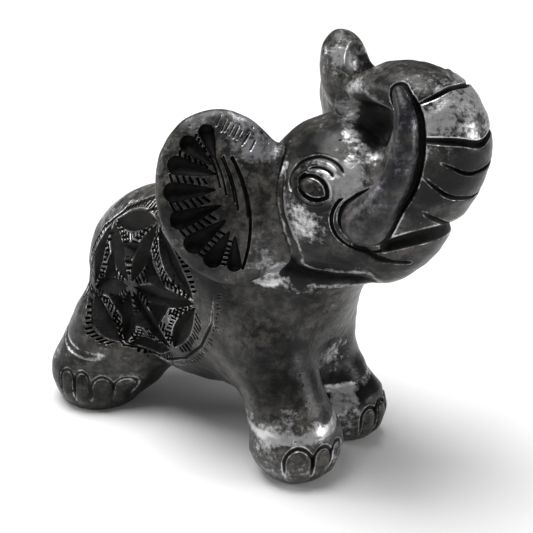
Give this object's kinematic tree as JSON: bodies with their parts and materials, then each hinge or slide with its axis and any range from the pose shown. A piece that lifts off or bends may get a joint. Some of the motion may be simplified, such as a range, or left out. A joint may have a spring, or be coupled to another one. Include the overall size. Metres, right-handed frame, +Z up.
{
  "type": "elephant figurine",
  "caption": "Small hollow pottery elephant in burnished black clay, trunk curled onto the forehead, ears and flanks chip carved with petal patterns.",
  "frame": {"origin": "on the ground under the middle of the bounding box", "axes": "+Z up, +X towards the trunk, +Y to the animal's left"},
  "size_m": [0.1064, 0.061, 0.0949],
  "materials": {
    "burnished_clay": "reduction-fired black clay, stone burnished to a graphite sheen in patches, dull and pitted between",
    "carved_clay": "reduction-fired black clay, knife carved, matt in the cuts and satin on the rims",
    "silvered_clay": "reduction-fired black clay, rubbed to a silvery graphite gloss"
  },
  "bodies": {
    "root": {"shell_right": "burnished_clay", "shell_left": "burnished_clay", "ear_right": "carved_clay", "ear_left": "carved_clay", "tusk_right": "silvered_clay", "tusk_left": "silvered_clay", "eye_right": "carved_clay", "eye_left": "carved_clay", "tail": "burnished_clay"}
  },
  "joints": []
}
